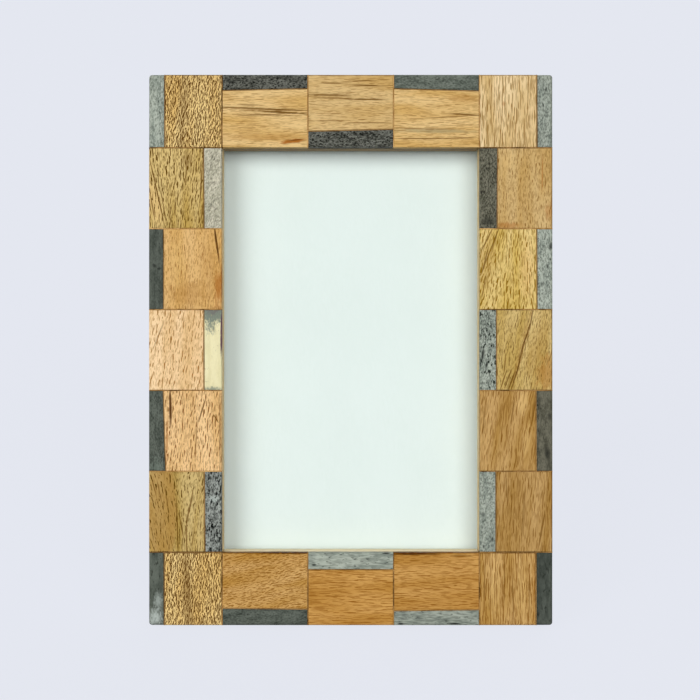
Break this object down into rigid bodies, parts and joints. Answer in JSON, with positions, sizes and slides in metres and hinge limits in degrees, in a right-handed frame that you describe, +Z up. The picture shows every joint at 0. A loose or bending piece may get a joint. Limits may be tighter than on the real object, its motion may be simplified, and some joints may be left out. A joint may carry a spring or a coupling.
{
  "type": "picture frame",
  "caption": "Rectangular tabletop picture frame faced with wood tiles and alternating bone strips, with glass, back board, turn buttons, a folding easel leg and a sawtooth hanger.",
  "frame": {"origin": "on the table, at the middle of the width and of the depth of the frame as it stands on its open easel leg", "axes": "+X to the right as seen from the front, +Y to the back, +Z up; the front leans back 16 degrees and faces -Y"},
  "size_m": [0.1396, 0.0792, 0.1869],
  "materials": {
    "wood_golden": "golden mango wood, sanded and waxed",
    "wood_pale": "pale mango wood, sanded and waxed",
    "wood_tan": "tan mango wood, sanded and waxed",
    "wood_honey": "honey mango wood, sanded and waxed",
    "wood_olive": "olive mango wood, sanded and waxed",
    "bone_light": "light dyed bone, sanded to a soft sheen",
    "bone_middle": "middle dyed bone, sanded to a soft sheen",
    "bone_dark": "dark dyed bone, sanded to a soft sheen",
    "bone_cream": "cream dyed bone, sanded to a soft sheen",
    "fibreboard": "bare medium-density fibreboard",
    "clear_glass": "clear float glass",
    "white_card": "smooth white card, bare",
    "black_board": "black paper-faced fibreboard",
    "steel": "zinc-plated pressed steel"
  },
  "bodies": {
    "frame": {"wood_tile_corner_top_left": "wood_golden", "bone_strip_corner_top_left": "bone_light", "wood_tile_top_1": "wood_tan", "bone_strip_top_1": "bone_dark", "wood_tile_top_2": "wood_tan", "bone_strip_top_2": "bone_dark", "wood_tile_top_3": "wood_tan", "bone_strip_top_3": "bone_dark", "wood_tile_corner_top_right": "wood_tan", "bone_strip_corner_top_right": "bone_light", "wood_tile_left_1": "wood_golden", "bone_strip_left_1": "bone_light", "wood_tile_left_2": "wood_tan", "bone_strip_left_2": "bone_dark", "wood_tile_left_3": "wood_pale", "bone_strip_left_3": "bone_cream", "wood_tile_left_4": "wood_pale", "bone_strip_left_4": "bone_dark", "wood_tile_left_5": "wood_olive", "bone_strip_left_5": "bone_middle", "wood_tile_right_1": "wood_golden", "bone_strip_right_1": "bone_dark", "wood_tile_right_2": "wood_olive", "bone_strip_right_2": "bone_light", "wood_tile_right_3": "wood_olive", "bone_strip_right_3": "bone_middle", "wood_tile_right_4": "wood_honey", "bone_strip_right_4": "bone_dark", "wood_tile_right_5": "wood_honey", "bone_strip_right_5": "bone_light", "wood_tile_corner_bottom_left": "wood_golden", "bone_strip_corner_bottom_left": "bone_dark", "wood_tile_bottom_1": "wood_honey", "bone_strip_bottom_1": "bone_dark", "wood_tile_bottom_2": "wood_honey", "bone_strip_bottom_2": "bone_light", "wood_tile_bottom_3": "wood_honey", "bone_strip_bottom_3": "bone_middle", "wood_tile_corner_bottom_right": "wood_honey", "bone_strip_corner_bottom_right": "bone_dark", "left_stile": "fibreboard", "right_stile": "fibreboard", "top_rail": "fibreboard", "bottom_rail": "fibreboard", "glass_pane": "clear_glass", "photo_card": "white_card", "back_board": "black_board", "screw_left_upper": "steel", "screw_left_lower": "steel", "screw_right_upper": "steel", "screw_right_lower": "steel", "hinge_plate": "steel", "hinge_pin": "steel", "sawtooth_hanger": "steel"},
    "easel": {"easel_leg": "black_board", "hinge_leaf": "steel"},
    "turn_button_left_upper": {"turn_button_left_upper": "steel"},
    "turn_button_left_lower": {"turn_button_left_lower": "steel"},
    "turn_button_right_upper": {"turn_button_right_upper": "steel"},
    "turn_button_right_lower": {"turn_button_right_lower": "steel"}
  },
  "joints": [
    {"name": "easel_fold", "type": "hinge", "parent": "frame", "child": "easel", "pos_m": [0, 0.01043, 0.11241], "axis": [1, 0, 0], "range_deg": [-30, 0]},
    {"name": "turn_left_upper", "type": "hinge", "parent": "frame", "child": "turn_button_left_upper", "pos_m": [-0.06057, 0.01328, 0.13578], "axis": [0, 0.9613, -0.2756], "continuous": true},
    {"name": "turn_left_lower", "type": "hinge", "parent": "frame", "child": "turn_button_left_lower", "pos_m": [-0.06057, -0.01208, 0.04734], "axis": [0, 0.9613, -0.2756], "continuous": true},
    {"name": "turn_right_upper", "type": "hinge", "parent": "frame", "child": "turn_button_right_upper", "pos_m": [0.06057, 0.01328, 0.13578], "axis": [0, 0.9613, -0.2756], "continuous": true},
    {"name": "turn_right_lower", "type": "hinge", "parent": "frame", "child": "turn_button_right_lower", "pos_m": [0.06057, -0.01208, 0.04734], "axis": [0, 0.9613, -0.2756], "continuous": true}
  ]
}
